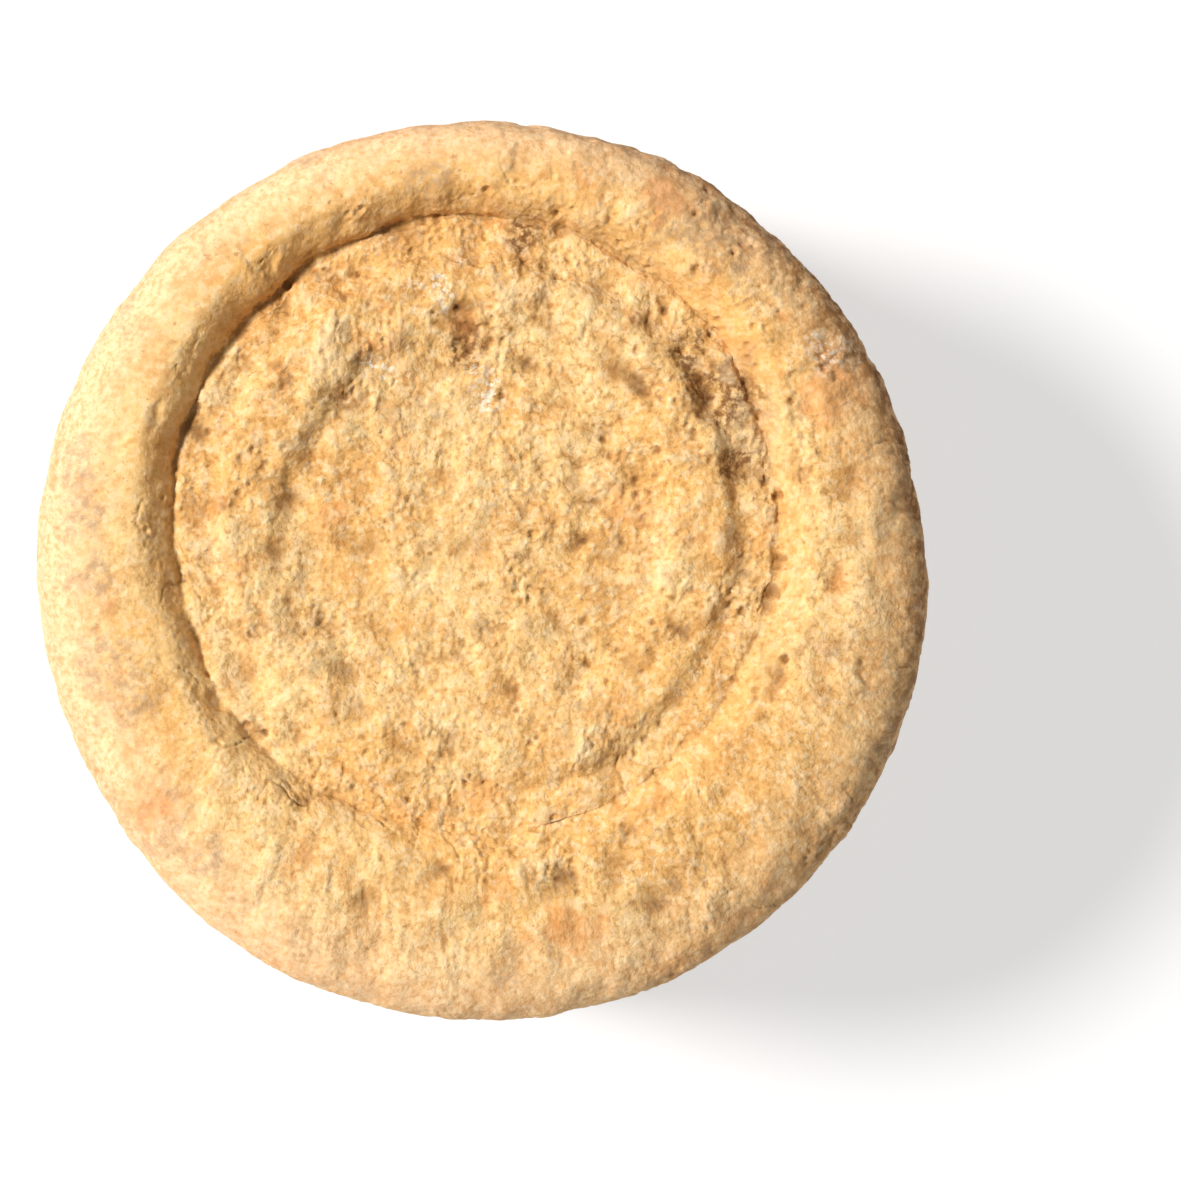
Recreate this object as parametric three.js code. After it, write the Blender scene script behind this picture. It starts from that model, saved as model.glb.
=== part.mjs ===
// A wheel of pressed farmhouse cheese with a dry natural rind, lying on its flat base, pressed face up.
// The wheel is one piece: the rind is the dried outside of the same cheese.
// Millimetres, +Z up. The origin is the centre of the base.
import * as THREE from "three";

// Driving dimensions.
const DIAMETER = 220;
const HEIGHT = 130;
const SEGMENTS = 96;
const CURVE_STEPS = 4;

// The wheel dried a little out of round: its long axis is this share over the mean diameter, its short axis
// as much under it.
const OUT_OF_ROUND = 0.007;
const LONG_AXIS_TURN = THREE.MathUtils.degToRad(-67); // from +X towards +Y

// The side stands almost straight and swells a little at half height, between a wide shoulder and a heel.
const RADIUS = DIAMETER / 2;
const SIDE_SWELL = 1.5;
const SIDE_RADIUS = RADIUS - SIDE_SWELL;
const SHOULDER_WIDTH = 24;
const SHOULDER_HEIGHT = 14;
const HEEL_WIDTH = 14;
const HEEL_HEIGHT = 12;

// The press plate left rings in the top face: a wall with a crease at its foot, a groove, a ridge and a dish.
// Depths are measured down from the rim.
const WALL_TOP_RADIUS = 0.76 * RADIUS;
const CREASE_RADIUS = 0.67 * RADIUS;
const CREASE_DEPTH = 6.3;
const GROOVE_OUTER_RADIUS = CREASE_RADIUS - 1.5;
const GROOVE_INNER_RADIUS = 0.6 * RADIUS;
const GROOVE_DEPTH = 5.6;
const RIDGE_OUTER_RADIUS = 0.54 * RADIUS;
const RIDGE_INNER_RADIUS = 0.46 * RADIUS;
const RIDGE_DEPTH = 2.5;
const DISH_RADIUS = 0.38 * RADIUS;
const DISH_DEPTH = 5.2;
const DISH_CENTRE_DEPTH = 4.2;

// The plate sat off centre and leaned to one side, so its rings are deeper there.
const PLATE_OFFSET = new THREE.Vector2(-1, 11);
const PLATE_LEAN = 0.4; // share of the depth, more on the deep side and less across from it
const DEEP_SIDE = THREE.MathUtils.degToRad(108); // from +X towards +Y

// The profile from the middle of the base, round the outside, to the middle of the top face.
function wheelProfile() {
  const profile = new THREE.Path();
  profile.moveTo(0, 0);
  addSide(profile);
  addPressedRings(profile);
  return profile.getPoints(CURVE_STEPS);
}

function addSide(profile) {
  const shoulderZ = HEIGHT - SHOULDER_HEIGHT;
  const middleZ = (HEEL_HEIGHT + shoulderZ) / 2;
  profile.lineTo(SIDE_RADIUS - HEEL_WIDTH, 0);
  profile.absellipse(SIDE_RADIUS - HEEL_WIDTH, HEEL_HEIGHT, HEEL_WIDTH, HEEL_HEIGHT, -Math.PI / 2, 0, false);
  // A quadratic curve goes half as far as its control point.
  profile.quadraticCurveTo(SIDE_RADIUS + 2 * SIDE_SWELL, middleZ, SIDE_RADIUS, shoulderZ);
  const rimRadius = SIDE_RADIUS - SHOULDER_WIDTH;
  profile.absellipse(rimRadius, shoulderZ, SHOULDER_WIDTH, SHOULDER_HEIGHT, 0, Math.PI / 2, false);
}

function addPressedRings(profile) {
  const wallMiddle = (WALL_TOP_RADIUS + CREASE_RADIUS) / 2;
  profile.lineTo(WALL_TOP_RADIUS, HEIGHT);
  profile.quadraticCurveTo(wallMiddle, HEIGHT, CREASE_RADIUS, HEIGHT - CREASE_DEPTH);
  profile.lineTo(GROOVE_OUTER_RADIUS, HEIGHT - GROOVE_DEPTH);
  profile.lineTo(GROOVE_INNER_RADIUS, HEIGHT - GROOVE_DEPTH);
  addSlope(profile, RIDGE_OUTER_RADIUS, HEIGHT - RIDGE_DEPTH);
  profile.lineTo(RIDGE_INNER_RADIUS, HEIGHT - RIDGE_DEPTH);
  addSlope(profile, DISH_RADIUS, HEIGHT - DISH_DEPTH);
  profile.quadraticCurveTo(DISH_RADIUS / 2, HEIGHT - DISH_CENTRE_DEPTH, 0, HEIGHT - DISH_CENTRE_DEPTH);
}

// An S-shaped slope from the profile's last point, level at both ends.
function addSlope(profile, radius, z) {
  const start = profile.currentPoint.clone();
  const middleRadius = (start.x + radius) / 2;
  profile.bezierCurveTo(middleRadius, start.y, middleRadius, z, radius, z);
}

// Leans the rings towards the deep side, then moves them off centre. The move fades out over the shoulder.
function setPlate(geometry) {
  const position = geometry.getAttribute("position");
  const point = new THREE.Vector3();
  for (let i = 0; i < position.count; i++) {
    point.fromBufferAttribute(position, i);
    const radius = Math.hypot(point.x, point.y);
    if (point.z < HEIGHT - SHOULDER_HEIGHT || radius >= SIDE_RADIUS) continue;
    const towardsDeepSide = point.x * Math.cos(DEEP_SIDE) + point.y * Math.sin(DEEP_SIDE);
    if (radius < WALL_TOP_RADIUS) {
      point.z += (point.z - HEIGHT) * PLATE_LEAN * towardsDeepSide / CREASE_RADIUS;
    }
    const move = Math.min((SIDE_RADIUS - radius) / (SIDE_RADIUS - WALL_TOP_RADIUS), 1);
    point.x += move * PLATE_OFFSET.x;
    point.y += move * PLATE_OFFSET.y;
    position.setXYZ(i, point.x, point.y, point.z);
  }
}

function dryOutOfRound(geometry) {
  geometry.rotateZ(-LONG_AXIS_TURN);
  geometry.scale(1 + OUT_OF_ROUND, 1 - OUT_OF_ROUND, 1);
  geometry.rotateZ(LONG_AXIS_TURN);
}

function cheeseWheel() {
  const geometry = new THREE.LatheGeometry(wheelProfile(), SEGMENTS);
  geometry.rotateX(Math.PI / 2); // a lathe turns about Y
  setPlate(geometry);
  dryOutOfRound(geometry);
  geometry.computeVertexNormals();
  const rind = new THREE.MeshStandardMaterial({ color: 0xd9a562, roughness: 0.92, metalness: 0 });
  const wheel = new THREE.Mesh(geometry, rind);
  wheel.name = "cheese_wheel";
  return wheel;
}

const part = new THREE.Group();
part.add(cheeseWheel());

export default part;
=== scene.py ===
"""The looks of the cheese wheel: its dry granular rind, a pale floor, studio light and an overhead camera.

The rind is one closed mesh. It follows the CAD wheel's shape, and its crumbs, pits and cracks are relief.
"""
import math

import bpy
import numpy as np
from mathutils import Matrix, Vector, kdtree, noise


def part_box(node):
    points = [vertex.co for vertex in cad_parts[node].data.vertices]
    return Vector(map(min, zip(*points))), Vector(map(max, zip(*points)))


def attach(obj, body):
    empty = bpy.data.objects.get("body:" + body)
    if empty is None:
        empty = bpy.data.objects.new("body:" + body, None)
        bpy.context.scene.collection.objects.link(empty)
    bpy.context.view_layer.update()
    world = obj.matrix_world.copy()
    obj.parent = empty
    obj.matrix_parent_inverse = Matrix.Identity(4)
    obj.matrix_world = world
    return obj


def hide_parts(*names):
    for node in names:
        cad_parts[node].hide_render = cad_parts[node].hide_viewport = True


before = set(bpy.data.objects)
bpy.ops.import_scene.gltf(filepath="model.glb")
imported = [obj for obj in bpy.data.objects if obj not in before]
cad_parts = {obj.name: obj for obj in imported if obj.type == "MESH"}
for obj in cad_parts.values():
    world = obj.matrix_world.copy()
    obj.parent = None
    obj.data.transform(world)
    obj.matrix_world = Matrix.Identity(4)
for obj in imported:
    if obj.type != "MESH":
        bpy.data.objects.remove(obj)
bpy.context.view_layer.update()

MM = 0.001
SEED = 11

wheel_low, wheel_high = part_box("cheese_wheel")
HEIGHT = wheel_high.z - wheel_low.z
RADIUS = (wheel_high.x - wheel_low.x + wheel_high.y - wheel_low.y) / 4

# The wheel's shape, as in the CAD model.
SIDE_SWELL = 1.5 * MM
SIDE_RADIUS = RADIUS - SIDE_SWELL
SHOULDER_WIDTH = 24 * MM
SHOULDER_HEIGHT = 14 * MM
HEEL_WIDTH = 14 * MM
HEEL_HEIGHT = 12 * MM
RIM_RADIUS = SIDE_RADIUS - SHOULDER_WIDTH
BASE_RADIUS = SIDE_RADIUS - HEEL_WIDTH
SHOULDER_BOTTOM = HEIGHT - SHOULDER_HEIGHT
OUT_OF_ROUND = 0.007
LONG_AXIS_TURN = math.radians(-67)
WALL_TOP_RADIUS = 0.76 * RADIUS
CREASE_RADIUS = 0.67 * RADIUS
CREASE_DEPTH = 6.3 * MM
GROOVE_RADIUS = 0.6 * RADIUS
GROOVE_DEPTH = 5.6 * MM
RIDGE_OUTER_RADIUS = 0.54 * RADIUS
RIDGE_INNER_RADIUS = 0.46 * RADIUS
RIDGE_DEPTH = 2.5 * MM
DISH_RADIUS = 0.38 * RADIUS
DISH_DEPTH = 5.2 * MM
DISH_CENTRE_DEPTH = 4.2 * MM
PLATE_OFFSET = np.array([-1, 11]) * MM
PLATE_LEAN = 0.4
DEEP_SIDE = math.radians(108)

# How fine the mesh is. The side and the base have half as many vertices round as the top.
TOP_RINGS = 190
SHOULDER_RINGS = 36
SIDE_RINGS = 130
HEEL_RINGS = 20
BASE_RINGS = TOP_RINGS // 2

# The flat UV map, in metres: two discs side by side, and the side's strip in two halves above them.
CHART_GAP = 3 * MM
DISC_ROOM = 101 * MM
STRIP_START = 2 * DISC_ROOM + 2 * CHART_GAP
STRIP_ROOM = 156 * MM
MAP_SIZE = STRIP_START + 2 * STRIP_ROOM + CHART_GAP


def smooth_step(low, high, value):
    share = np.clip((value - low) / (high - low), 0, 1)
    return share * share * (3 - 2 * share)


def bell(value, middle, width):
    return np.exp(-(((value - middle) / width) ** 2))


def blend(low, high, share):
    return low + (high - low) * share


# ---------------------------------------------------------------- the smooth wheel


def pressed_depth(radius):
    """How deep the press plate's rings lie under the rim, at each distance from the plate's centre."""
    up_the_wall = np.clip((radius - CREASE_RADIUS) / (WALL_TOP_RADIUS - CREASE_RADIUS), 0, 1)
    wall = CREASE_DEPTH * (1 - up_the_wall) ** 2
    groove = blend(GROOVE_DEPTH, CREASE_DEPTH, smooth_step(CREASE_RADIUS - 2.5 * MM, CREASE_RADIUS, radius))
    ridge = blend(RIDGE_DEPTH, groove, smooth_step(RIDGE_OUTER_RADIUS, GROOVE_RADIUS, radius))
    dish = blend(DISH_CENTRE_DEPTH, DISH_DEPTH, smooth_step(0, DISH_RADIUS, radius))
    inside = blend(dish, ridge, smooth_step(DISH_RADIUS, RIDGE_INNER_RADIUS, radius))
    return np.where(radius > CREASE_RADIUS, wall, inside)


def top_profile():
    """Radius and height of the top face's rings. They lie closer together at the crease and its wall."""
    radius = np.linspace(0, RIM_RADIUS, 2000)
    density = 1 + 0.9 * bell(radius, CREASE_RADIUS + 2 * MM, 6 * MM)
    distance = np.concatenate([[0], np.cumsum((density[1:] + density[:-1]) / 2)])
    radius = np.interp(np.linspace(0, distance[-1], TOP_RINGS + 1), distance, radius)
    return radius, HEIGHT - pressed_depth(radius)


def side_profile():
    """Radius and height of the rings from the shoulder down to the base."""
    turn = np.linspace(0, math.pi / 2, SHOULDER_RINGS + 1)[1:]
    down = np.linspace(0, 1, SIDE_RINGS + 1)[1:]
    under = np.linspace(0, math.pi / 2, HEEL_RINGS + 1)[1:]
    radius = [
        RIM_RADIUS + SHOULDER_WIDTH * np.sin(turn),
        SIDE_RADIUS + 4 * SIDE_SWELL * down * (1 - down),
        BASE_RADIUS + HEEL_WIDTH * np.cos(under),
    ]
    height = [
        SHOULDER_BOTTOM + SHOULDER_HEIGHT * np.cos(turn),
        blend(SHOULDER_BOTTOM, HEEL_HEIGHT, down),
        HEEL_HEIGHT - HEEL_HEIGHT * np.sin(under),
    ]
    return np.concatenate(radius), np.concatenate(height)


def disc_grid(rings):
    """A square grid pulled round into a disc: each vertex's ring and angle, the quads, and the rim."""
    steps = np.arange(-rings, rings + 1)
    across, up = (grid.ravel() for grid in np.meshgrid(steps, steps, indexing="ij"))
    ring = np.maximum(abs(across), abs(up))
    sideways = abs(across) >= abs(up)
    long_way = np.where(sideways, across, up)
    short_way = np.where(sideways, up, -across)
    quarter = np.where(sideways, 0, 1) + np.where(long_way < 0, 2, 0)
    angle = (quarter + short_way * np.sign(long_way) / np.maximum(ring, 1) / 2) * math.pi / 2
    angle = angle % (2 * math.pi)
    row = 2 * rings + 1
    corner = np.arange(row * row).reshape(row, row)[:-1, :-1].ravel()
    quads = np.stack([corner, corner + row, corner + row + 1, corner + 1], axis=1)
    rim = np.flatnonzero(ring == rings)
    order = np.round(angle[rim] / (2 * math.pi) * 8 * rings).astype(int) % (8 * rings)
    return ring, angle, quads, rim[np.argsort(order)]


class Skin:
    """Collects vertices, faces, and each face corner's place on the flat UV map."""

    def __init__(self):
        self.points = []
        self.count = 0
        self.faces = []
        self.places = []

    def add_points(self, radius, height, angle):
        points = np.stack([radius * np.cos(angle), radius * np.sin(angle), height + 0 * radius], axis=1)
        self.points.append(points)
        self.count += len(points)
        return np.arange(self.count - len(points), self.count)

    def add_faces(self, faces, places):
        self.faces += faces.tolist()
        self.places.append(places.reshape(-1, 2))

    def add_disc(self, ids, quads, reach, angle, chart):
        """A disc's faces, laid flat. reach is how far each vertex lies from the middle along the surface."""
        across = CHART_GAP + DISC_ROOM * (1 + 2 * chart) + reach * np.cos(angle)
        up = CHART_GAP + DISC_ROOM + reach * np.sin(angle)
        places = np.stack([across, up], axis=1)
        self.add_faces(ids[quads], places[quads])

    def add_band(self, upper, lower):
        """Faces between two rings, each given as its vertices and how far down the side it lies.
        The lower ring may have half as many vertices as the upper one."""
        if len(upper[0]) == len(lower[0]):
            patterns = [((0, 0), (1, 0), (1, 1), (0, 1))]
        else:
            patterns = [((0, 0), (1, 0), (0, 1)), ((0, 1), (1, 0), (1, 1)), ((0, 1), (1, 1), (0, 2))]
        steps = np.arange(len(lower[0]))
        second_half = steps >= len(steps) / 2
        for pattern in patterns:
            ids, places = [], []
            for which, onward in pattern:
                ring, drop = (upper, lower)[which]
                index = steps * (len(ring) // len(steps)) + onward
                across = CHART_GAP + (index / len(ring) - second_half / 2) * 2 * math.pi * RADIUS
                up = STRIP_START + STRIP_ROOM * second_half + drop
                ids.append(ring[index % len(ring)])
                places.append(np.stack([across, up], axis=1))
            self.add_faces(np.stack(ids, axis=1), np.stack(places, axis=1))


def lengths_along(radius, height):
    return np.concatenate([[0], np.cumsum(np.hypot(np.diff(radius), np.diff(height)))])


def smooth_skin():
    """The whole wheel as rings: the top disc, the shoulder, then the side and heel, and the base disc."""
    skin = Skin()
    radius, height = top_profile()
    ring, angle, quads, rim = disc_grid(TOP_RINGS)
    ids = skin.add_points(radius[ring], height[ring], angle)
    skin.add_disc(ids, quads, lengths_along(radius, height)[ring], angle, 0)
    above, drop_above, last = ids[rim], 0.0, (RIM_RADIUS, HEIGHT)

    base_ring, base_angle, base_quads, base_rim = disc_grid(BASE_RINGS)
    base_reach = base_ring / BASE_RINGS * BASE_RADIUS
    base_ids = skin.add_points(base_reach, 0.0, base_angle)
    skin.add_disc(base_ids, base_quads[:, ::-1], base_reach, base_angle, 1)

    rings = list(zip(*side_profile()))
    for number, (ring_radius, ring_height) in enumerate(rings):
        drop = drop_above + math.dist(last, (ring_radius, ring_height))
        count = 8 * TOP_RINGS if number < SHOULDER_RINGS else 8 * BASE_RINGS
        if number == len(rings) - 1:
            below = base_ids[base_rim]
        else:
            turn = np.arange(count) / count * 2 * math.pi
            below = skin.add_points(np.full(count, ring_radius), ring_height, turn)
        skin.add_band((above, drop_above), (below, drop))
        above, drop_above, last = below, drop, (ring_radius, ring_height)
    return skin


def set_plate(points):
    """Leans the rings towards the deep side, then moves them off centre, as in the CAD model."""
    radius = np.hypot(points[:, 0], points[:, 1])
    on_top = points[:, 2] > SHOULDER_BOTTOM
    towards = points[:, 0] * math.cos(DEEP_SIDE) + points[:, 1] * math.sin(DEEP_SIDE)
    pressed = on_top & (radius < WALL_TOP_RADIUS)
    points[:, 2] += pressed * (points[:, 2] - HEIGHT) * PLATE_LEAN * towards / CREASE_RADIUS
    move = np.clip((SIDE_RADIUS - radius) / (SIDE_RADIUS - WALL_TOP_RADIUS), 0, 1) * on_top
    points[:, :2] += move[:, None] * PLATE_OFFSET


def dry_out_of_round(points):
    long_way = np.array([math.cos(LONG_AXIS_TURN), math.sin(LONG_AXIS_TURN)])
    short_way = np.array([-long_way[1], long_way[0]])
    along, across = points[:, :2] @ long_way, points[:, :2] @ short_way
    stretched = along[:, None] * (1 + OUT_OF_ROUND) * long_way
    points[:, :2] = stretched + across[:, None] * (1 - OUT_OF_ROUND) * short_way


# ---------------------------------------------------------------- relief


def noise_at(points, size, seed, octaves=3):
    """Smooth noise from about -1 to 1, with lumps of the given size."""
    shifted = points / size + np.array([3.1, 7.7, 5.3]) * (seed + SEED)
    return np.array([noise.fractal(place, 1.0, 2.0, octaves) for place in shifted.tolist()])


def crumbs_at(points, size, seed):
    """Rounded crumbs with narrow valleys between them, from about -1 in a valley to 1 on top."""
    shifted = points / size + np.array([2.3, 9.1, 4.9]) * (seed + SEED)
    nearest = [noise.noise(place, noise_basis="VORONOI_F1") for place in shifted.tolist()]
    return -np.array(nearest)


# Marks on the wheel, and patches of painted shade, seen from above: x, y and reach of each.
WORN_PATCHES = np.array([
    (-97, 24, 6), (-96, 12, 7), (-95, -2, 7), (-90, -22, 8), (-84, -34, 6), (-78, -62, 8), (-66, -69, 6),
    (60, 82, 11), (46, 84, 7), (-14, 93, 7), (61, 49, 6), (64, 40, 7), (67, 30, 5),
]) * MM
# Brown patches, partly painted shade where the ring ridge's slope faces away from the lamp.
SHADED_AND_DARK_PATCHES = np.array([
    (50, 53, 5), (55, 45, 6), (58, 36, 6), (62, 26, 5), (64, 44, 5), (10, 78, 5), (-4, 52, 5),
]) * MM
ORANGE_PATCHES = np.array([(82, 44, 9), (-82, -58, 6), (46, 88, 6), (20, -84, 8)]) * MM
CHALK_PATCHES = np.array([(-9, 68, 6), (-22, 48, 4), (2, 44, 5), (86, 52, 6)]) * MM
# Directions, from +X towards +Y, in which the outside is broken, pale, or brown with painted shade. The
# spread is in radians.
BROKEN_SHOULDER = math.radians(38)
BROKEN_SPREAD = 0.55
SHADED_BROWN_EDGE = math.radians(15)
PALE_SIDE = math.radians(150)

# Relief. Crumbs come in three sizes, each with its width, height and seed. Pits and holes have a least and a
# greatest reach and depth.
CRUMBS = ((3.6 * MM, 0.24 * MM, 7), (2.0 * MM, 0.24 * MM, 8), (1.25 * MM, 0.14 * MM, 17))
GRIT_HEIGHT = 0.15 * MM
KNOLL_HEIGHT = 1.5 * MM
FLAKE_HEIGHT = 0.3 * MM
PIT_COUNT = 1100
PIT_REACH = (0.5 * MM, 1.2 * MM)
PIT_DEPTH = (0.3 * MM, 0.8 * MM)
HOLE_COUNT = 60
HOLE_REACH = (1.0 * MM, 1.9 * MM)
HOLE_DEPTH = (0.6 * MM, 1.4 * MM)
CRACK_DEPTH = 0.5 * MM
CREASE_CUT = 0.35 * MM


def patches(points, places, seed):
    """Ragged soft-edged patches round the given places, from 0 to 1."""
    ragged = noise_at(points, 7 * MM, seed, 4) * 0.9
    found = np.zeros(len(points))
    for x, y, reach in places:
        away = np.hypot(points[:, 0] - x, points[:, 1] - y) / reach
        found = np.maximum(found, smooth_step(1.3, 0.5, away + ragged))
    return found


def facing(turn, direction):
    """1 on the side that lies in the given direction, and 0 across from it."""
    return 0.5 + 0.5 * np.cos(turn - direction)


class Wheel:
    """The wheel's vertices, their normals, and what part of the wheel each one lies on, from 0 to 1."""

    def __init__(self, mesh, plain):
        self.points = read(mesh.vertices, "co")
        self.normals = read(mesh.vertices, "normal")
        radius, height = np.hypot(plain[:, 0], plain[:, 1]), plain[:, 2]
        turn = np.arctan2(self.points[:, 1], self.points[:, 0])
        self.find_top(radius, height)
        self.find_directions(turn)
        self.find_outside(height)
        self.find_tints(radius, turn)
        self.find_rough()

    def find_top(self, radius, height):
        """The pressed face: the field inside the crease, the wall round it, and the crease itself."""
        top = smooth_step(SHOULDER_BOTTOM, HEIGHT - 0.2 * SHOULDER_HEIGHT, height)
        self.top = np.where((radius < RIM_RADIUS) & (height > HEIGHT / 2), 1, top)
        self.field = self.top * smooth_step(CREASE_RADIUS + 0.5 * MM, CREASE_RADIUS - 1 * MM, radius)
        on_wall = smooth_step(WALL_TOP_RADIUS, WALL_TOP_RADIUS - 5 * MM, radius)
        self.wall = self.top * on_wall * (1 - self.field)
        self.crease = self.top * bell(radius, CREASE_RADIUS - 0.2 * MM, 1.0 * MM)
        self.from_crease = np.where(self.top > 0.5, radius - CREASE_RADIUS, RADIUS)

    def find_directions(self, turn):
        """What differs round the wheel: how deep the rings are, and where it is pale, broken or low."""
        self.deep_side = facing(turn, DEEP_SIDE)
        self.pale_side = blend(0.25, 1.0, facing(turn, PALE_SIDE))
        self.broken = bell(np.angle(np.exp(1j * (turn - BROKEN_SHOULDER))), 0, BROKEN_SPREAD)
        self.low_face = smooth_step(30 * MM, -30 * MM, self.points[:, 1])

    def find_outside(self, height):
        """The side under its ragged upper border, the edge above that, the heel and the base."""
        ragged = height + 9 * MM * noise_at(self.points, 24 * MM, 23, 4)
        self.side = smooth_step(SHOULDER_BOTTOM - 3 * MM, SHOULDER_BOTTOM - 27 * MM, ragged) * (1 - self.top)
        ragged = ragged + 5 * MM * noise_at(self.points, 7 * MM, 24, 4)
        self.edge = smooth_step(SHOULDER_BOTTOM - 11 * MM, SHOULDER_BOTTOM, ragged)
        self.base = smooth_step(HEEL_HEIGHT / 2, 0, height)
        self.heel = (1 - self.base) * smooth_step(1.8 * HEEL_HEIGHT, 0.6 * HEEL_HEIGHT, height)

    def find_tints(self, radius, turn):
        """Where the colours of the outside lie: the pale shoulder, the broken edge, and the brown edge, which
        is partly its own brown and partly painted shade.
        """
        pale_from = blend(0.82, 0.74, self.deep_side) * RADIUS
        pale = self.pale_side * smooth_step(pale_from, 0.95 * RADIUS, radius)
        self.pale = pale * (1 - self.field) * (1 - 0.75 * self.wall) * (1 - 0.75 * self.side)
        at_edge = smooth_step(0.9 * RADIUS, 0.99 * RADIUS, radius)
        self.shaded_brown_edge = facing(turn, SHADED_BROWN_EDGE) ** 2 * self.edge * at_edge
        self.broken_edge = self.broken * self.edge * smooth_step(0.8 * RADIUS, 0.95 * RADIUS, radius)

    def find_rough(self):
        """How rough the rind is: most of all in the field, and least on the pale side."""
        rim = self.top * (1 - self.field) * (1 - self.wall)
        rim_rough = 0.42 + 0.45 * self.low_face * (1 - self.pale) + 0.45 * self.broken
        rim_rough = rim_rough - 0.3 * self.pale_side**2
        outside_rough = blend(blend(0.5, 0.25, self.pale_side), 0.65, self.side)
        outside_rough = outside_rough + 0.3 * self.broken * self.edge
        rough = self.field * blend(1.0, 0.8, self.low_face) + 0.62 * self.wall
        rough = rough + rim * rim_rough + (1 - self.top) * outside_rough
        uneven = (0.3 + 0.2 * self.side) * noise_at(self.points, 16 * MM, 21)
        self.rough = np.clip(rough + uneven, 0.15, 1.15)


def read(items, name):
    values = np.empty(len(items) * 3)
    items.foreach_get(name, values)
    return values.reshape(-1, 3)


def scattered(wheel, count, weight, reach, depth, seed):
    """Bowls strewn over the wheel, each from 0 at its ragged edge to its own depth in the middle."""
    random = np.random.default_rng(SEED + seed)
    tree = kdtree.KDTree(len(wheel.points))
    for index, point in enumerate(wheel.points.tolist()):
        tree.insert(point, index)
    tree.balance()
    ragged = 1 + 0.7 * noise_at(wheel.points, 1.3 * MM, seed, 2)
    found = np.zeros(len(wheel.points))
    middles = random.choice(len(wheel.points), count, p=weight / weight.sum())
    for middle, share in zip(middles.tolist(), random.random(count) ** 2):
        radius = blend(reach[0], reach[1], share)
        near = tree.find_range(wheel.points[middle], radius)
        index = np.array([item[1] for item in near])
        away = np.array([item[2] for item in near]) / radius * ragged[index]
        bowl = blend(depth[0], depth[1], share) * np.clip(1 - away**2, 0, 1)
        found[index] = np.maximum(found[index], bowl)
    return found


def soft_relief(wheel):
    """Broad lumps, which also show in the wheel's outline."""
    wide = 0.9 * MM * noise_at(wheel.points, 48 * MM, 4, 2)
    narrow = 0.65 * MM * noise_at(wheel.points, 22 * MM, 5, 2)
    return (wide + narrow) * (1 + 0.3 * wheel.side)


def crumbly_relief(wheel, bent, clumps):
    """Rounded crumbs of three sizes, which lie in clumps."""
    crumbs = sum(height * crumbs_at(bent, size, seed) for size, height, seed in CRUMBS)
    return wheel.rough * crumbs * blend(0.6, 1.25, clumps)


def knobbly_relief(wheel, bent, clumps):
    """Knolls and loose flakes."""
    knolls = KNOLL_HEIGHT * noise_at(wheel.points, 9 * MM, 6, 2)
    flakes = FLAKE_HEIGHT * smooth_step(0.1, 0.3, noise_at(bent, 4 * MM, 11, 3)) * blend(0.5, 1.0, wheel.top)
    return wheel.rough * (knolls + flakes * clumps)


def pits_and_holes(wheel, clumps):
    """Many small pits between the clumps, and a few larger holes, most of them in the broken shoulder."""
    pitted = (wheel.rough + 0.05) * clumps**2 + 0.02
    pits = scattered(wheel, PIT_COUNT, pitted, PIT_REACH, PIT_DEPTH, 12)
    holed = wheel.broken * wheel.top + 0.1 * wheel.side * clumps + 0.03
    holes = scattered(wheel, HOLE_COUNT, holed, HOLE_REACH, HOLE_DEPTH, 13)
    return pits + holes


def cracks_and_crease(wheel, bent):
    """Fine drying cracks, and a sharper line at the foot of the wall."""
    lines = abs(noise_at(bent, 17 * MM, 14, 2))
    cracks = CRACK_DEPTH * bell(lines, 0, 0.02) * smooth_step(0.05, 0.3, noise_at(wheel.points, 30 * MM, 15))
    ragged = 1 + 0.6 * noise_at(wheel.points, 7 * MM, 16)
    return cracks + CREASE_CUT * wheel.crease * wheel.deep_side**2 * ragged


def shallow_dents(wheel, bent):
    """Soft hollows on the rim, the shoulder and the side."""
    dents = smooth_step(0.33, 0.6, noise_at(bent, 13 * MM, 18, 3)) * (0.7 + 0.5 * wheel.side) * MM
    return dents * (1 - wheel.field) * (1 - 0.7 * wheel.pale)


def relief(wheel):
    """How far each vertex stands out from the smooth wheel, the fine part of that, and the crumbs alone."""
    points = wheel.points
    bend = np.stack([noise_at(points, 3 * MM, seed, 2) for seed in (1, 2, 3)], axis=1)
    bent = points + 0.8 * MM * bend
    clumps = smooth_step(-0.25, 0.25, noise_at(points, 11 * MM, 9))
    crumbs = crumbly_relief(wheel, bent, clumps)
    grit = GRIT_HEIGHT * noise_at(points, 1.2 * MM, 10, 2) * blend(0.25, 1.0, wheel.rough)
    fine = crumbs + grit + knobbly_relief(wheel, bent, clumps)
    fine = fine - pits_and_holes(wheel, clumps) - cracks_and_crease(wheel, bent)
    dents = shallow_dents(wheel, bent)
    out = soft_relief(wheel) * (1 - wheel.base) + (fine - dents) * (1 - 0.85 * wheel.base)
    return out, fine - 0.25 * dents, crumbs + grit


def wander(wheel):
    """Moves the ring walls a little in and out, so that no ring is a true circle."""
    near = wheel.top * (wheel.wall + wheel.field)
    for axis, seed in ((0, 31), (1, 32)):
        push = 1.5 * noise_at(wheel.points, 26 * MM, seed, 2)
        push = push + 0.35 * noise_at(wheel.points, 7 * MM, seed + 2, 3)
        wheel.points[:, axis] += push * MM * near


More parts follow.
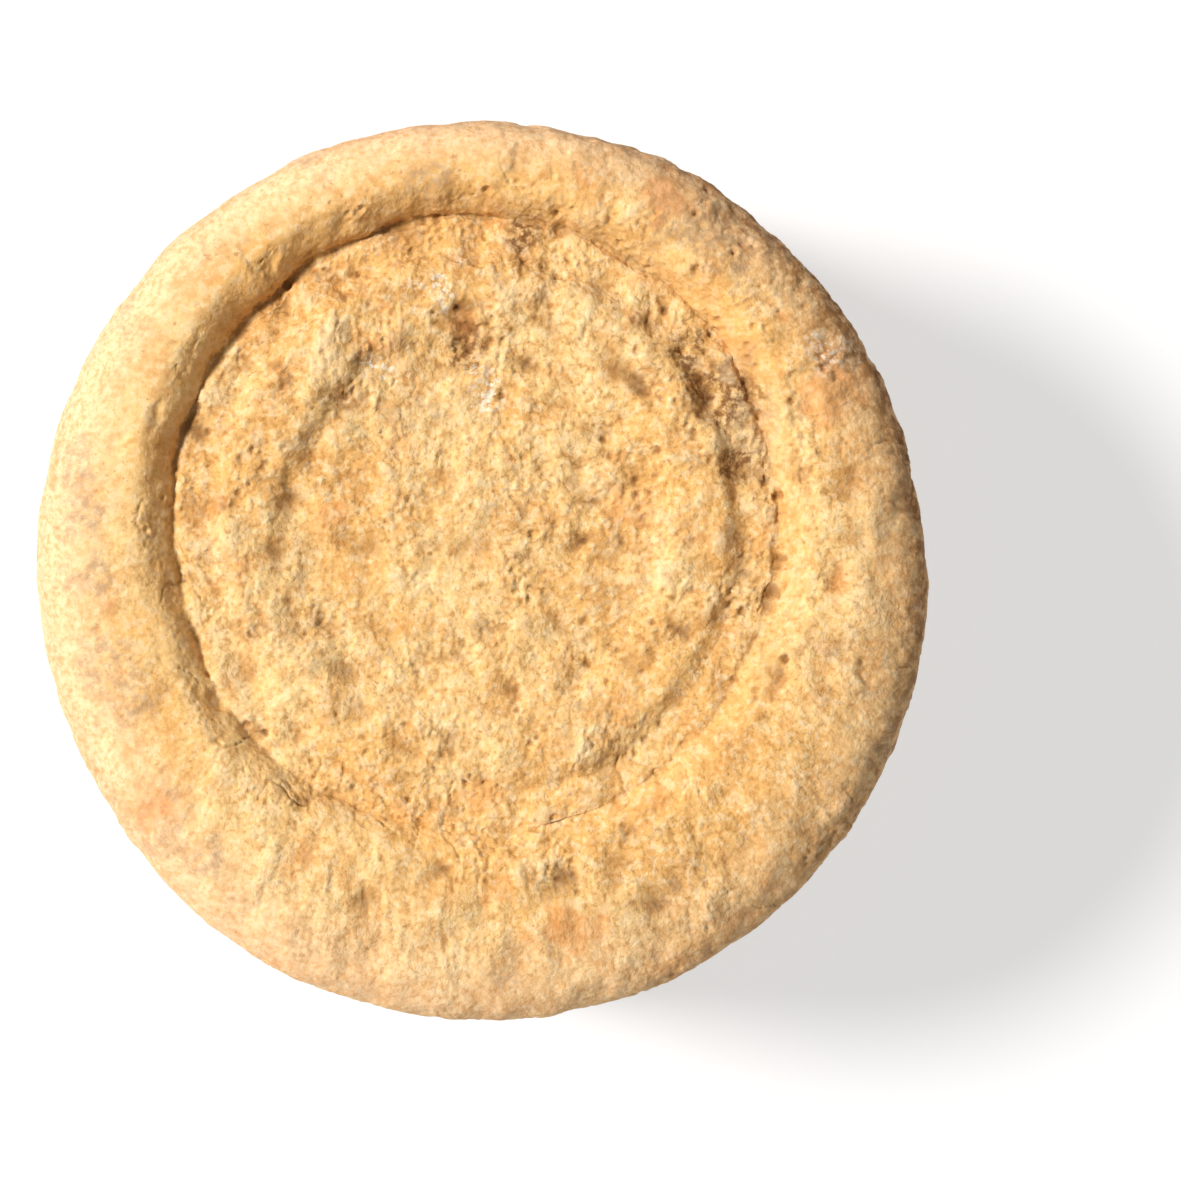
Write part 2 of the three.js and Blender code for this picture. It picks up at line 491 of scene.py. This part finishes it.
def add_values(mesh, wheel, fine, crumbs):
    """Gives the mesh the values that the rind's material reads, each by its name."""
    values = {
        # fine and crumbs are relief heights; the material also paints highlights on their tops and shade in
        # their hollows.
        "fine": fine / MM,
        "crumbs": crumbs / MM,
        "rough": wheel.rough,
        "top": wheel.top,
        "wall": wheel.wall * wheel.deep_side,
        "from_crease": wheel.from_crease / MM,
        "deep_side": wheel.deep_side,
        "pale": wheel.pale,
        "side": wheel.side,
        "heel": wheel.heel,
        "shaded_brown_edge": wheel.shaded_brown_edge,
        "broken_edge": wheel.broken_edge,
        "worn": patches(wheel.points, WORN_PATCHES, 41) * wheel.top,
        "orange": patches(wheel.points, ORANGE_PATCHES, 42) * wheel.top,
        "chalk": patches(wheel.points, CHALK_PATCHES, 43) * wheel.top,
        "dark": patches(wheel.points, SHADED_AND_DARK_PATCHES, 44) * wheel.top,
    }
    for name, each in values.items():
        attribute = mesh.attributes.new(name, "FLOAT", "POINT")
        attribute.data.foreach_set("value", each.astype(np.float32))


def rind_wheel():
    """The wheel's visible piece."""
    skin = smooth_skin()
    plain = np.concatenate(skin.points)
    points = plain.copy()
    set_plate(points)
    dry_out_of_round(points)
    mesh = bpy.data.meshes.new("rind_wheel")
    mesh.from_pydata(points.tolist(), [], skin.faces)
    uv_map = mesh.uv_layers.new(name="OFBake")
    uv_map.data.foreach_set("uv", (np.concatenate(skin.places) / MAP_SIZE).ravel().astype(np.float32))
    wheel = Wheel(mesh, plain)
    wander(wheel)
    height, fine, crumbs = relief(wheel)
    shaped = wheel.points + wheel.normals * height[:, None]
    shaped[:, 2] = np.maximum(shaped[:, 2], wheel_low.z)
    add_values(mesh, wheel, fine, crumbs)
    mesh.vertices.foreach_set("co", shaped.ravel())
    mesh.shade_smooth()
    mesh.update()
    piece = bpy.data.objects.new("rind_wheel", mesh)
    bpy.context.scene.collection.objects.link(piece)
    mesh.materials.append(rind_material())
    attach(piece, "root")
    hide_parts("cheese_wheel")


# ---------------------------------------------------------------- materials


def linear(hex_colour):
    """A shader colour from its usual hex form."""
    shares = [int(hex_colour[i:i + 2], 16) / 255 for i in (0, 2, 4)]
    return [((share + 0.055) / 1.055) ** 2.4 for share in shares] + [1.0]


GOLD = linear("e5b26b")
PALE_GOLD = linear("ecc484")
OCHRE = linear("cf9453")
CREAM = linear("f3dab0")
PALE = linear("ecc497")
PALE_EDGE = linear("e0b58e")
TAN = linear("c08a4e")
UMBER = linear("a9743a")
BROWN = linear("7c5028")
# DARK is painted shade only: in the deepest pits and along the crease.
DARK = linear("432812")
MAUVE = linear("a98c70")
ORANGE = linear("dc9050")
CHALK = linear("f4ead6")
BLOOM = linear("d9c6a4")


class Paint:
    """A material's node tree, with a short call for each kind of node it uses."""

    def __init__(self, name):
        self.material = bpy.data.materials.new(name)
        self.material.use_nodes = True
        self.tree = self.material.node_tree
        self.shader = self.tree.nodes["Principled BSDF"]
        self.place = self.tree.nodes.new("ShaderNodeTexCoord").outputs["Object"]
        self.attributes = {}

    def add(self, kind, **inputs):
        node = self.tree.nodes.new("ShaderNode" + kind)
        for name, value in inputs.items():
            self.give(node.inputs[name.replace("_", " ")], value)
        return node

    def give(self, socket, value):
        if isinstance(value, bpy.types.NodeSocket):
            self.tree.links.new(value, socket)
        else:
            socket.default_value = value

    def noise(self, size, detail=2.0, roughness=0.5):
        node = self.add("TexNoise", Vector=self.place, Scale=1 / size, Detail=detail, Roughness=roughness)
        return node.outputs["Fac"]

    def crumbs(self, size):
        node = self.add("TexVoronoi", Vector=self.place, Scale=1 / size)
        return node.outputs["Distance"]

    def values(self, name):
        """The mesh's own values of that name."""
        if name not in self.attributes:
            node = self.add("Attribute")
            node.attribute_name = name
            self.attributes[name] = node.outputs["Fac"]
        return self.attributes[name]

    def step(self, value, low, high, to_low=0.0, to_high=1.0):
        node = self.add("MapRange", Value=value, From_Min=low, From_Max=high, To_Min=to_low, To_Max=to_high)
        node.interpolation_type = "SMOOTHSTEP"
        return node.outputs["Result"]

    def times(self, first, second):
        return self.combine("MULTIPLY", first, second)

    def plus(self, first, second):
        return self.combine("ADD", first, second)

    def combine(self, operation, first, second=0.0):
        node = self.add("Math")
        node.operation = operation
        self.give(node.inputs[0], first)
        self.give(node.inputs[1], second)
        return node.outputs["Value"]

    def mix(self, share, first, second):
        node = self.tree.nodes.new("ShaderNodeMix")
        node.data_type = "RGBA"
        self.give(node.inputs["Factor"], share)
        self.give(node.inputs[6], first)
        self.give(node.inputs[7], second)
        return node.outputs[2]


def rind_clouds(paint, outside):
    """The large soft tones: gold on top, ochre and stained on the side, and pale on one shoulder."""
    side, pale = paint.values("side"), paint.values("pale")
    colour = paint.mix(paint.step(paint.noise(34 * MM, 3), 0.38, 0.62), GOLD, PALE_GOLD)
    colour = paint.mix(paint.times(side, 0.4), colour, OCHRE)
    colour = paint.mix(paint.times(pale, 0.9), colour, outside)
    colour = paint.mix(paint.step(paint.noise(9 * MM, 4, 0.6), 0.5, 0.62, 0, 0.45), colour, OCHRE)
    stains = paint.times(side, paint.step(paint.noise(27 * MM, 5, 0.6), 0.49, 0.58))
    colour = paint.mix(paint.times(stains, 0.8), colour, TAN)
    pale_clouds = paint.times(side, paint.step(paint.noise(40 * MM, 5, 0.6), 0.53, 0.6))
    return paint.mix(paint.times(pale_clouds, 0.7), colour, PALE_GOLD)


def rind_specks(paint, colour):
    """Small cream and ochre mottle everywhere, and brown specks."""
    mottle = paint.noise(2.8 * MM, 4, 0.6)
    colour = paint.mix(paint.step(mottle, 0.52, 0.59, 0, 0.4), colour, CREAM)
    colour = paint.mix(paint.step(mottle, 0.46, 0.39, 0, 0.4), colour, OCHRE)
    specks = paint.step(paint.noise(2.0 * MM, 3, 0.6), 0.64, 0.7)
    specks = paint.times(specks, paint.step(paint.values("rough"), 0.2, 0.8, 0.6, 0.35))
    return paint.mix(specks, colour, UMBER)


def pale_skin(paint, outside, colour):
    """Evens the pale shoulder out, and gives it fine orange and cream freckles."""
    pale = paint.values("pale")
    colour = paint.mix(paint.times(pale, 0.5), colour, outside)
    freckles = paint.noise(1.5 * MM, 4, 0.6)
    colour = paint.mix(paint.times(paint.step(freckles, 0.53, 0.6), paint.times(pale, 0.55)), colour, OCHRE)
    return paint.mix(paint.times(paint.step(freckles, 0.47, 0.4), paint.times(pale, 0.35)), colour, CREAM)


def rind_grains(paint, grains, colour):
    """Painted highlights on the grains' cream tops and painted shade at their brown feet, also coarser in
    places on the side.
    """
    rough, side = paint.values("rough"), paint.values("side")
    shaded_feet = paint.times(paint.step(grains, 0.3, 0.1), paint.step(rough, 0, 1, 0.1, 0.6))
    lit_tops = paint.times(paint.step(grains, 0.34, 0.52), paint.step(rough, 0, 1, 0.2, 0.4))
    colour = paint.mix(lit_tops, paint.mix(shaded_feet, colour, UMBER), CREAM)
    coarse = paint.plus(paint.noise(2.2 * MM, 4, 0.7), paint.times(paint.crumbs(3 * MM), -0.4))
    crumbly = paint.times(side, paint.step(paint.noise(18 * MM, 4, 0.6), 0.42, 0.6, 0.1, 0.7))
    colour = paint.mix(paint.times(paint.step(coarse, 0.28, 0.12), crumbly), colour, UMBER)
    return paint.mix(paint.times(paint.step(coarse, 0.36, 0.52), paint.times(crumbly, 0.6)), colour, CREAM)


def relief_highlights_and_shade(paint, colour):
    """Painted highlights on the crumbs and knolls, and painted shade down in the valleys, pits and cracks."""
    crumbs, fine = paint.values("crumbs"), paint.values("fine")
    colour = paint.mix(paint.step(crumbs, 0.05, 0.5, 0, 0.5), colour, CREAM)
    colour = paint.mix(paint.step(crumbs, -0.2, -0.65, 0, 0.6), colour, UMBER)
    colour = paint.mix(paint.step(fine, 0.3, 1.3, 0, 0.35), colour, CREAM)
    colour = paint.mix(paint.step(fine, -0.2, -1.0, 0, 0.5), colour, UMBER)
    colour = paint.mix(paint.step(fine, -0.7, -1.5, 0, 0.7), colour, BROWN)
    return paint.mix(paint.step(fine, -1.3, -2.2, 0, 0.7), colour, DARK)


def rind_marks_and_shade(paint, colour):
    """Worn grey-mauve skin, orange patches, dark patches that are partly painted shade, chalky crumbs, and a
    pale bloom on the side.
    """
    wear = paint.step(paint.noise(24 * MM, 5, 0.62), 0.57, 0.68, 0, 0.8)
    wear = paint.times(wear, paint.step(paint.values("wall"), 0.0, 0.5, 1.0, 0.0))
    wear = paint.combine("MAXIMUM", paint.values("worn"), wear)
    wear = paint.times(wear, paint.step(paint.noise(2.6 * MM, 5, 0.7), 0.38, 0.64))
    colour = paint.mix(paint.times(wear, 0.65), colour, MAUVE)
    colour = paint.mix(paint.times(paint.values("orange"), 0.45), colour, ORANGE)
    colour = paint.mix(paint.step(paint.noise(15 * MM, 4, 0.6), 0.6, 0.7, 0, 0.3), colour, ORANGE)
    # Dark patches: partly painted shade on the ridge's slope away from the lamp.
    dark = paint.times(paint.values("dark"), paint.step(paint.noise(1.9 * MM, 4, 0.65), 0.4, 0.6, 0.1, 0.9))
    colour = paint.mix(dark, colour, BROWN)
    chalk = paint.times(paint.values("chalk"), paint.step(paint.noise(1.7 * MM, 4, 0.7), 0.48, 0.58))
    colour = paint.mix(paint.times(chalk, 0.75), colour, CHALK)
    bloom = paint.step(paint.noise(19 * MM, 4, 0.6), 0.54, 0.64)
    bloom = paint.times(bloom, paint.step(paint.noise(1.4 * MM, 4, 0.7), 0.45, 0.58))
    return paint.mix(paint.times(paint.times(bloom, paint.values("side")), 0.7), colour, BLOOM)


def brown_borders(paint, colour):
    """The brown of the broken shoulder and of the heel, and of the edge beside the shoulder, which is partly
    its own brown and partly painted shade away from the lamp.
    """
    blots = paint.noise(3.5 * MM, 5, 0.7)
    broken = paint.times(paint.step(blots, 0.38, 0.6, 0.15, 0.8), paint.values("broken_edge"))
    colour = paint.mix(broken, colour, UMBER)
    # The brown edge lies on the side away from the lamp: partly its own brown, partly painted shade.
    edge = paint.times(paint.values("shaded_brown_edge"), paint.step(blots, 0.4, 0.6, 0.35, 0.95))
    colour = paint.mix(edge, colour, BROWN)
    heel = paint.times(paint.values("heel"), paint.step(paint.noise(5 * MM, 5, 0.65), 0.35, 0.6, 0.15, 0.8))
    return paint.mix(heel, colour, BROWN)


def crease_shade(paint, colour):
    """Painted shade: the wall darkens towards its foot, where a ragged dark line runs, faint across from the
    deep side. The wall's golden tint is partly its own colour, partly painted light lifting its shade.
    """
    from_crease, wall = paint.values("from_crease"), paint.values("wall")
    colour = paint.mix(paint.times(wall, 0.35), colour, GOLD)
    colour = paint.mix(paint.times(wall, paint.step(from_crease, 8, 0, 0.0, 0.18)), colour, UMBER)
    ragged = paint.plus(from_crease, paint.step(paint.noise(2.2 * MM, 4, 0.6), 0.3, 0.7, -0.6, 0.6))
    line = paint.step(paint.combine("ABSOLUTE", ragged), 0.8, 0.1, 0, 0.35)
    return paint.mix(paint.times(line, paint.step(paint.values("deep_side"), 0.4, 1.0, 0.1, 1)), colour, DARK)


def rind_material():
    """Dry golden rind, from its large soft tones down to its grains with their painted highlights and shade,
    then its marks and borders, some of them painted shade, and the painted shade at the crease.
    """
    paint = Paint("rind")
    rough, top = paint.values("rough"), paint.values("top")
    shoulder = paint.times(paint.step(top, 0.97, 0.5), paint.step(top, -0.3, 0.6))
    outside = paint.mix(shoulder, PALE, PALE_EDGE)
    grain = paint.noise(1.1 * MM, 4, 0.65)
    grains = paint.plus(grain, paint.times(paint.crumbs(1.7 * MM), -0.35))
    colour = rind_specks(paint, rind_clouds(paint, outside))
    colour = relief_highlights_and_shade(paint, rind_grains(paint, grains, colour))
    colour = pale_skin(paint, outside, colour)
    colour = crease_shade(paint, brown_borders(paint, rind_marks_and_shade(paint, colour)))
    paint.give(paint.shader.inputs["Base Color"], colour)
    paint.give(paint.shader.inputs["Roughness"], paint.step(grain, 0.3, 0.7, 0.96, 0.82))
    paint.shader.inputs["Specular IOR Level"].default_value = 0.25
    bump = paint.add("Bump", Height=grains, Distance=1.0 * MM)
    paint.give(bump.inputs["Strength"], paint.step(rough, 0, 1, 0.2, 0.6))
    paint.give(paint.shader.inputs["Normal"], bump.outputs["Normal"])
    return paint.material


def floor_material():
    paint = Paint("pale_floor")
    paint.shader.inputs["Base Color"].default_value = (0.35, 0.35, 0.35, 1)
    paint.shader.inputs["Roughness"].default_value = 0.9
    paint.shader.inputs["Emission Color"].default_value = (1, 1, 1, 1)
    paint.shader.inputs["Emission Strength"].default_value = 0.6
    return paint.material


# ---------------------------------------------------------------- studio


def pale_floor():
    """A floor that reaches past the camera's view on every side."""
    reach = 30.0
    mesh = bpy.data.meshes.new("pale_floor")
    corners = [(-reach, -reach, 0), (reach, -reach, 0), (reach, reach, 0), (-reach, reach, 0)]
    mesh.from_pydata(corners, [], [(0, 1, 2, 3)])
    floor = bpy.data.objects.new("pale_floor", mesh)
    floor.location.z = wheel_low.z
    bpy.context.scene.collection.objects.link(floor)
    mesh.materials.append(floor_material())


def soft_sun(turn, lift, strength, softness):
    """A wide, far lamp, which stands turn degrees from +X and lift degrees up. softness is its width."""
    lamp = bpy.data.lights.new("key", "SUN")
    lamp.energy = strength
    lamp.angle = math.radians(softness)
    lamp.color = (1.0, 0.97, 0.93)
    lamp_object = bpy.data.objects.new("key", lamp)
    lamp_object.rotation_euler = (math.radians(90 - lift), 0, math.radians(turn + 90))
    bpy.context.scene.collection.objects.link(lamp_object)


def pale_surroundings():
    """Bright walls and a dimmer ceiling, so that the sides get light and the top keeps its shadows."""
    world = bpy.data.worlds.new("studio")
    world.use_nodes = True
    bpy.context.scene.world = world
    tree = world.node_tree
    place = tree.nodes.new("ShaderNodeTexCoord")
    split = tree.nodes.new("ShaderNodeSeparateXYZ")
    ramp = tree.nodes.new("ShaderNodeMapRange")
    ramp.interpolation_type = "SMOOTHSTEP"
    ramp.inputs["From Min"].default_value = 0.13
    ramp.inputs["From Max"].default_value = 0.35
    ramp.inputs["To Min"].default_value = 1.0
    ramp.inputs["To Max"].default_value = 0.22
    tree.links.new(place.outputs["Generated"], split.inputs["Vector"])
    tree.links.new(split.outputs["Z"], ramp.inputs["Value"])
    tree.links.new(ramp.outputs["Result"], tree.nodes["Background"].inputs["Strength"])
    tree.nodes["Background"].inputs["Color"].default_value = (1, 1, 1, 1)


def overhead_camera():
    """Looks straight down on the pressed face, with the wheel left of the middle of the frame."""
    wheel_share = 0.756
    wheel_left = 0.0919
    wheel_up = 0.0174
    camera = bpy.data.cameras.new("camera")
    camera.lens = 100
    frame_width = 2 * SIDE_RADIUS / wheel_share
    camera_object = bpy.data.objects.new("camera", camera)
    distance = frame_width * camera.lens / camera.sensor_width
    camera_object.location = (wheel_left * frame_width, -wheel_up * frame_width, SHOULDER_BOTTOM + distance)
    bpy.context.scene.collection.objects.link(camera_object)
    bpy.context.scene.camera = camera_object


rind_wheel()
pale_floor()
pale_surroundings()
soft_sun(turn=166, lift=47, strength=4.5, softness=14)
overhead_camera()
bpy.context.scene.view_settings.view_transform = "Standard"
